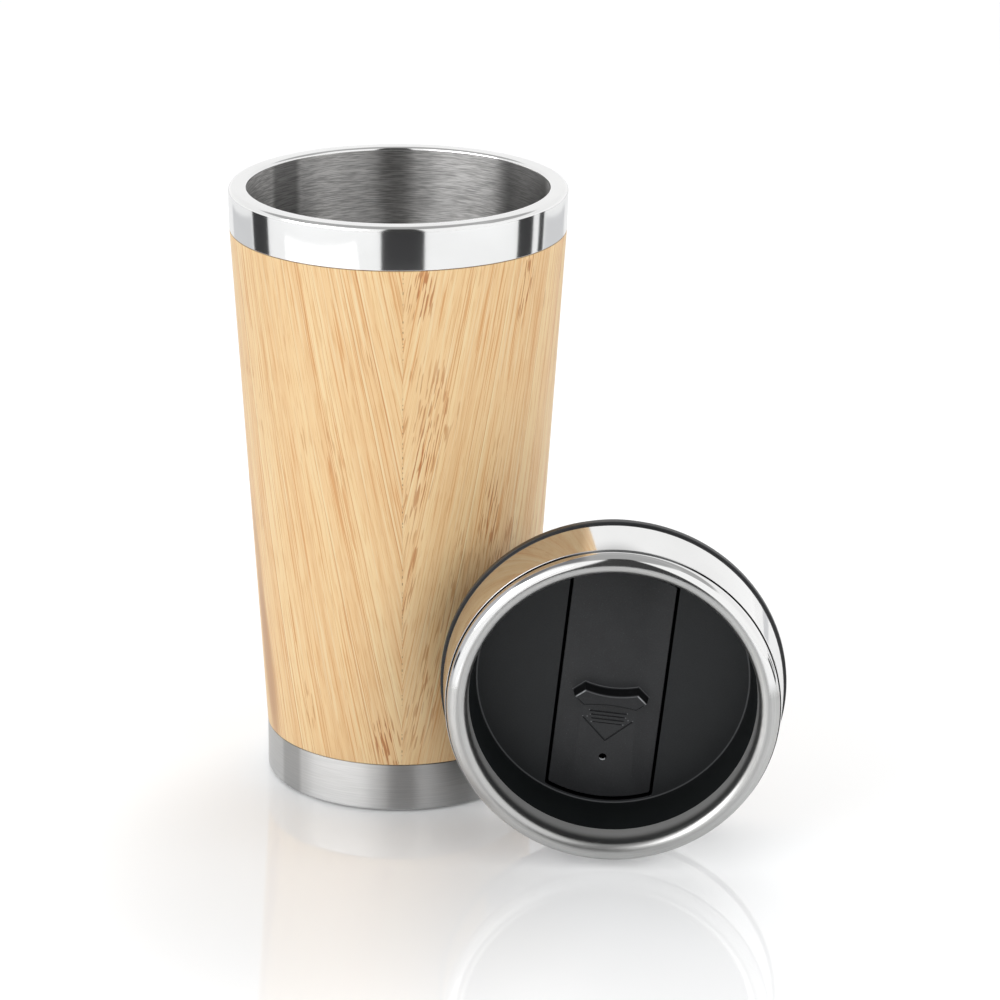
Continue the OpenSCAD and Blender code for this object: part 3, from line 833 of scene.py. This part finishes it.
def anti_slip_pad():
    """A rubber disc with ring grooves underneath."""
    loop = [(0, 0)]
    for r in PAD_GROOVES:
        loop += [(r - 0.7, 0), (r - 0.5, PAD_GROOVE_T), (r + 0.5, PAD_GROOVE_T), (r + 0.7, 0)]
    loop += [(PAD_R - PAD_BEVEL, 0, FINE_EDGE), (PAD_R, PAD_BEVEL, 0.15), (PAD_R, PAD_T), (0, PAD_T)]
    pad = lathe("anti_slip_pad_shown", rounded(loop), segments=144)
    dress(pad, [pad_rubber], "cup", "pad_rubber", "anti_slip_pad")


# The lid, in its own frame


def lid_body():
    """The flange, the well's wall and the wall that carries the trim ring. The well's inside has a darker
    copy of the plastic: painted shade.
    """
    loop = rounded([(FLANGE_R, 0, SOFT_EDGE), (FLANGE_R, FLANGE_T, SOFT_EDGE),
                    (CORE_R, FLANGE_T, FINE_EDGE), (CORE_TOP_R, CORE_H, SOFT_EDGE),
                    (CORE_IN_R, CORE_H, SOFT_EDGE), (CORE_IN_R, FLANGE_T, SOFT_EDGE),
                    (SPIGOT_R, FLANGE_T, SOFT_EDGE),
                    (WELL_TOP_R + WELL_T, WELL_H, SOFT_EDGE), (WELL_TOP_R, WELL_H, 0.2),
                    (DISC_R, BODY_LOW, 0.16), (SPIGOT_R, BODY_LOW, FINE_EDGE), (SPIGOT_R, 0)])
    # Faces inside the well get the darker copy of the plastic: painted shade
    finish = [1 if r < CORE_IN_R - 0.24 and z > BODY_LOW + 0.01 else 0 for r, z in loop]
    body = lathe("lid_body_shown", loop, lid_place, finish=finish)
    dress(body, [flange_plastic, shaded_well_plastic], "lid", "lid_black", "lid_body")


def slide_outline(half, low_r, high_r, shift=0):
    """The outline shared by the channel and the slider, counter-clockwise: straight sides and round ends,
    the upper one about a centre moved up by shift, with its four corners rounded."""
    radius, steps = 0.5, 40
    low_half = math.degrees(math.asin(half / low_r))
    high_half = math.degrees(math.asin(half / high_r))
    flat = [Vector(p) for p in arc(0, 0, low_r, low_r, -90 - low_half, -90 + low_half, steps)
            + arc(0, shift, high_r, high_r, 90 - high_half, 90 + high_half, steps)]
    corners = (0, steps, steps + 1, 2 * steps + 1)
    out = []
    for i, here in enumerate(flat):
        if i in corners:
            a = (flat[i - 1] - here).normalized()
            b = (flat[(i + 1) % len(flat)] - here).normalized()
            out += fillet(here, a, b, a.angle(b) / 2, radius, steps=5)
        elif min((flat[m] - here).length for m in corners) > radius:
            out.append(tuple(here))
    return out


def slot_outline(in_r, out_r, half):
    """A sector between two radii, on the lower side of the lid."""
    steps = 24
    low = math.degrees(math.asin(half / out_r))
    top = math.degrees(math.asin(half / in_r))
    return (arc(0, 0, out_r, out_r, -90 - low, -90 + low, steps)
            + arc(0, 0, in_r, in_r, -90 + top, -90 - top, steps))


def round_outline(y, r, steps=40):
    return arc(0, y, r, r, 0, 360 - 360 / steps, steps - 1)


def lid_plug():
    """The disc, thicker round the channel whose floor has the sip hole and a vent, and the skirt with the
    seal's groove."""
    lead = rounded([(SKIRT_R, -PLUG_LEN), (PLUG_R - LEAD_W, -PLUG_LEN, SOFT_EDGE),
                    (PLUG_R, -PLUG_LEN + LEAD_H, 0.4), (PLUG_R, GROOVE_LOW)], False)[1:]
    loop = ([(PLUG_R, 0), (COLLAR_R, 0), (COLLAR_R, DISC_W), (0, DISC_W), (0, DISC_W - DISC_T),
             (SKIRT_R, DISC_W - DISC_T), (SKIRT_R, -PLUG_LEN)] + lead
            + [(GROOVE_R, GROOVE_LOW), (GROOVE_R, GROOVE_TOP), (PLUG_R, GROOVE_TOP)])
    plug = lathe("lid_plug_shown", loop, lid_place)
    channel_w = DISC_W - SLIDER_T - SLIDE_PLAY
    groove_half = TONGUE_HALF + STOP_GAP
    tray_half = groove_half + CHANNEL_FLOOR
    tray = block("tray", -tray_half, tray_half, -TRAY_REACH, TRAY_REACH, channel_w - CHANNEL_FLOOR,
                 DISC_W - DISC_T / 2)
    combine(tray, [prism("tray_round", round_outline(0, SKIRT_R + BOND_GAP, 160), -6, -2)], "INTERSECT")
    combine(plug, [tray], "UNION")
    channel = slide_outline(CHANNEL_HALF, CHANNEL_LOW_R, CHANNEL_HIGH_R)
    combine(plug, [
        loft("channel", [(channel, channel_w), (channel, DISC_W - 0.22),
                         (offset(channel, 0.05), DISC_W - 0.1), (offset(channel, 0.2), DISC_W),
                         (offset(channel, 0.2), DISC_W + 0.6)]),
        block("tongues", -groove_half, groove_half, -TONGUE_LOW - SLIDE_PLAY,
              TONGUE_HIGH + TRAVEL + STOP_GAP, channel_w, channel_w + TONGUE_T + 2 * SLIDE_PLAY),
        prism("sip", slot_outline(SIP_IN_R, SIP_OUT_R, SIP_HALF), *THROUGH),
        prism("vent", round_outline(VENT_Y + TRAVEL, VENT_R), *THROUGH),
    ], "DIFFERENCE")
    dress(plug, [lid_plastic], "lid", "lid_black", "lid_plug")


def lid_trim_ring():
    """A polished skirt, a fine groove painted dark as shade, and a satin shoulder that rolls in over the lip.
    """
    lip_z = RISE - RING_ROUND
    lip_in = RING_ROUND - RING_T
    skirt = rounded([(RING_R - 0.05, FLANGE_T), (RING_R, FLANGE_T + 0.06), (RING_TOP_R, SKIRT_TOP, 0.2),
                     (GROOVE_IN_R, SKIRT_TOP + 0.2)], False)
    parts = [
        (0, skirt[:-2]),
        (2, skirt[-2:] + [(GROOVE_IN_R + 0.1, SHOULDER_Z - 0.12)]),
        (1, arc(CREST_R, SHOULDER_Z, SHOULDER_W, SHOULDER_H, 0, 90, 30)),
        (1, arc(CREST_R, lip_z, RING_ROUND, RING_ROUND, 90, 180, 24)[1:]),
        (1, [(35.42, 15.5), (35.32, 13.5), (35.24, 11.6), (RING_FOOT_R, WELL_H), (36.0, WELL_H)]),
        (1, arc(CREST_R, lip_z, lip_in, lip_in, 180, 90, 8)),
        (1, arc(CREST_R, SHOULDER_Z, SHOULDER_W - RING_T, SHOULDER_H - RING_T, 90, 0, 10)[1:]),
        (1, [(RING_R - RING_T, FLANGE_T)]),
    ]
    loop, finish = [], []
    for index, points in parts:
        loop += points
        finish += [index] * len(points)
    ring = lathe("lid_trim_ring_shown", loop, lid_place, finish=finish)
    dress(ring, [ring_steel, satin_steel, groove_shade], "lid", "trim_steel", "lid_trim_ring")


def lid_seal():
    """A silicone ring with two lips."""
    in_r = GROOVE_R + BOND_GAP
    low, mid, top = GROOVE_LOW + BOND_GAP, (GROOVE_LOW + GROOVE_TOP) / 2, GROOVE_TOP - BOND_GAP
    loop = rounded([(in_r, low), (PLUG_R, low, FINE_EDGE), (SEAL_R, mid - 2 * SEAL_EDGE, LIP_EDGE),
                    (SEAL_R, mid - SEAL_EDGE, LIP_EDGE), (PLUG_R, mid, 0.15),
                    (SEAL_R, top - SEAL_EDGE, LIP_EDGE), (SEAL_R, top, LIP_EDGE), (in_r, top)])
    dress(lathe("lid_seal_shown", loop, lid_place), [silicone], "lid", "seal_silicone", "lid_seal")


# The slider


def grip_outline(grow):
    """The thumb grip, grown by some millimetres: a hollow upper edge, cut corners, an arched lower edge."""
    y = GRIP_L / 2
    flat = GRIP_HALF - GRIP_CORNER
    steps = [i / 10 for i in range(-10, 11)]
    points = [(flat * s, -y + GRIP_ARCH * (1 - s ** 2)) for s in steps] + [(GRIP_HALF, 0)]
    points += [(-flat * s, y - GRIP_HOLLOW * (1 - s ** 2)) for s in steps] + [(-GRIP_HALF, 0)]
    return [(px, py - GRIP_BACK) for px, py in offset(points, grow)]


def groove(a, b, wide=LINE_W):
    """A cutter for an engraved line with round ends and sloping sides."""
    a, b = Vector(a), Vector(b)
    turn = math.degrees(math.atan2(b.y - a.y, b.x - a.x))
    outline = (arc(a.x, a.y, wide / 2, wide / 2, turn + 90, turn + 270, 8)
               + arc(b.x, b.y, wide / 2, wide / 2, turn - 90, turn + 90, 8))
    return loft("groove", [(offset(outline, -0.09), DISC_W - LINE_T), (outline, DISC_W - 0.02),
                           (offset(outline, 0.08), DISC_W + 0.2)])


def slider():
    """A plate with side tongues, a thumb grip, an engraved arrow with bars, a vent and its pad's recess."""
    under_w = DISC_W - SLIDER_T
    plate = slide_outline(SLIDER_HALF, SLIDER_LOW_R, SKIRT_R, -TRAVEL)
    levels = [(0, under_w)] + [(-inward, DISC_W - deep) for inward, deep in PLATE_EDGE]
    body = loft("slider_shown", [(offset(plate, grow) if grow else plate, w) for grow, w in levels])
    grip = loft("grip", [(grip_outline(grow), DISC_W + height) for grow, height in GRIP_LEVELS])
    tongues = block("tongues", -TONGUE_HALF, TONGUE_HALF, -TONGUE_LOW, TONGUE_HIGH, under_w,
                    under_w + TONGUE_T)
    combine(body, [grip, tongues], "UNION")
    cuts = [groove((-ARROW_HALF, ARROW_ROOT), (0.02, ARROW_TIP)),
            groove((-0.02, ARROW_TIP), (ARROW_HALF, ARROW_ROOT))]
    cuts += [groove((-reach, y), (reach, y), wide) for y, reach, wide in BARS]
    hole, mouth = round_outline(VENT_Y, VENT_R), round_outline(VENT_Y, VENT_R + 0.06)
    cuts.append(loft("vent", [(hole, under_w - 1), (hole, DISC_W - 0.12), (mouth, DISC_W + 0.01),
                              (mouth, DISC_W + 1)]))
    cuts.append(prism("recess", slot_outline(STOP_IN_R, STOP_OUT_R, STOP_HALF), under_w - 1,
                      under_w + STOP_T - SLIDE_PLAY / 2))
    combine(body, cuts, "DIFFERENCE")
    dress(body, [slider_plastic], "slider", "slider_black", "slider")


rim_band()
bamboo_sleeve()
inner_liner()
base_band()
anti_slip_pad()
repaint("outer_shell", shell_steel)
lid_body()
lid_plug()
lid_trim_ring()
lid_seal()
slider()
repaint("slider_stop_pad", silicone)

# Floor, light and camera


def path_level(paint, camera, glossy, other=0.0):
    """One value where the camera looks, straight or through a clear piece, one in reflections, and another
    for the light that surfaces receive."""
    path = paint.node("LightPath").outputs
    straight = paint.larger(path["Is Camera Ray"], path["Is Transmission Ray"])
    level = paint.node("Mix", i0=path["Is Glossy Ray"], i2=other, i3=glossy).outputs[0]
    return paint.node("Mix", i0=straight, i2=level, i3=camera).outputs[0]


def plane(name, corners, material):
    """A flat thing that isn't part of the object: the floor, or a mat on it."""
    mesh = bpy.data.meshes.new(name)
    mesh.from_pydata([tuple(c) for c in corners], [], [(0, 1, 2, 3)])
    obj = bpy.data.objects.new(name, mesh)
    scene.collection.objects.link(obj)
    obj.data.materials.append(material)
    return obj


FLOOR_HALF = 6
# Two painted shadows under and before the object, where the lift is weaker: centre, half width, half depth
# and drop
PAINTED_SHADOWS = ((-0.02, -0.075, 0.075, 0.1, 0.16), (0.07, -0.11, 0.05, 0.06, 0.05))
# The room's dark and grey parts: turn from the front to the right and half width in degrees, lowest and
# highest slope, tone, and softness in degrees
PANELS = ((3, 14, -0.2, 0.93, 0.05, 2), (0, 360, 0.86, 2, 0.4, 2), (135, 60, 0.62, 0.86, 0.42, 2),
          (-135, 60, 0.62, 0.86, 0.42, 2), (150, 66, 0.25, 0.55, 0.88, 20), (-150, 66, 0.25, 0.55, 0.88, 20))


def floor():
    """A plain floor. What lifts it to white is for the camera, and weaker in two places, which paints shadows
    there.
    """
    paint = Paint("floor_white", Base_Color=(0.86, 0.867, 0.873, 1), Roughness=0.03, Specular_IOR_Level=0.7)
    x, y, _ = paint.parts(paint.node("TexCoord").outputs["Object"])
    seen = 0.22
    for *place, drop in PAINTED_SHADOWS:
        away = paint.far(x, y, *place)
        seen = paint.times_plus(paint.step(away, 1.0, 0.0), -drop, seen)
    lift = path_level(paint, camera=seen, glossy=0.04)
    paint.set(Emission_Color=(1, 1, 1, 1), Emission_Strength=lift)
    corners = [(FLOOR_HALF * sx, FLOOR_HALF * sy, 0) for sx, sy in ((-1, -1), (1, -1), (1, 1), (-1, 1))]
    plane("floor", corners, paint.material)


def white_room():
    """The white room, whose dark and grey parts only reflections show."""
    room = Paint("white_room", owners=bpy.data.worlds)
    x, y, z = room.parts(room.node("TexCoord").outputs["Generated"])
    heading = room.math("ARCTAN2", x, room.times(y, -1.0))
    tone = 1.0
    for turn, half, low, high, dark, blur in PANELS:
        aside = room.math("ABSOLUTE", room.minus(heading, math.radians(turn)))
        inside = room.step(aside, math.radians(half + blur), math.radians(half - blur))
        soft = blur * 0.015 + 0.01
        inside = room.times(inside, room.within(z, low - soft, low + soft, high - soft, high + soft))
        tone = room.times(tone, room.times_plus(inside, dark - 1, 1.0))
    room.set(Strength=path_level(room, camera=1.0, glossy=tone, other=0.5), Color=(1, 1, 1, 1))
    scene.world = room.material


def one_sided(name, colour):
    """Matt in front and clear from behind, so that what the floor mirrors passes through a mat on it."""
    p = Paint(name, Base_Color=colour, Roughness=1.0, Specular_IOR_Level=0.0)
    clear = p.node("BsdfTransparent")
    mixed = p.node("MixShader", i0=p.node("NewGeometry").outputs["Backfacing"], i1=p.shader.outputs[0],
                   i2=clear.outputs[0])
    out = next(n for n in p.tree.nodes if n.type == "OUTPUT_MATERIAL")
    p.tree.links.new(mixed.outputs[0], out.inputs["Surface"])
    return p.material


floor()
white_room()
flag_black = one_sided("flag_black", srgb(60, 60, 61))
flag_grey = one_sided("flag_grey", srgb(212, 213, 215))
MAT_Z = 0.0004  # just over the floor


def flag(name, turn, half, near, far, paint=flag_black):
    """A mat on the floor, seen only in reflections, that gives the polished bands their edges. turn is its
    turn from the front to the right, half its half width, both in degrees; near and far are its ends."""
    low, high = (math.radians(-90 + turn + side) for side in (-half, half))
    corners = ((near, low), (far, low), (far, high), (near, high))
    places = [(reach * math.cos(a), reach * math.sin(a), MAT_Z) for reach, a in corners]
    mat = plane(name + "_mat", places, paint)
    mat.visible_camera = False
    mat.visible_diffuse = False
    mat.visible_shadow = False
    mat.visible_transmission = False


flag("flag_front", 3, 14, 0.32, 5)
flag("flag_left", -104, 8.6, 0.30, 5)
flag("flag_right", 93, 7.5, 0.32, 5)
flag("flag_slim", 110, 3, 0.32, 5)
flag("flag_left_edge", -131, 17, 0.32, 0.6, paint=flag_grey)
flag("flag_right_edge", 133, 18, 0.39, 0.6, paint=flag_grey)
# For the base band, close by
flag("foot_front", 2.5, 7.5, 0.037, 0.09, paint=flag_grey)


def area(name, at, target, size, energy):
    """A soft lamp at one place that looks at another, in metres."""
    light = bpy.data.lights.new(name, "AREA")
    light.shape = "RECTANGLE"
    light.size, light.size_y = size
    light.energy = energy
    obj = bpy.data.objects.new(name, light)
    scene.collection.objects.link(obj)
    obj.location = at
    obj.rotation_euler = (Vector(target) - Vector(at)).to_track_quat("-Z", "Y").to_euler()
    obj.visible_camera = False
    return obj


area("key", (-1.15, -0.8, 0.8), (0, 0, 0.08), (1.6, 0.9), 11.0)
area("fill", (1.25, -0.75, 0.8), (0.02, 0, 0.08), (1.5, 0.8), 9.0).visible_glossy = False
area("top", (0.1, 0.5, 1.4), (0.02, -0.02, 0.0), (1.1, 1.1), 6.5).visible_glossy = False


def photo_camera():
    """The camera, as fitted to the photo's outlines."""
    lens = bpy.data.cameras.new("photo_camera")
    lens.sensor_width = 36
    lens.lens = 135
    lens.shift_x = 0.1018
    lens.clip_start = 0.01
    camera = bpy.data.objects.new("photo_camera", lens)
    scene.collection.objects.link(camera)
    camera.location = (0, -0.91, 0.3891)
    camera.rotation_euler = (math.radians(70.81), 0, 0)
    scene.camera = camera


photo_camera()
scene.view_settings.view_transform = "Standard"
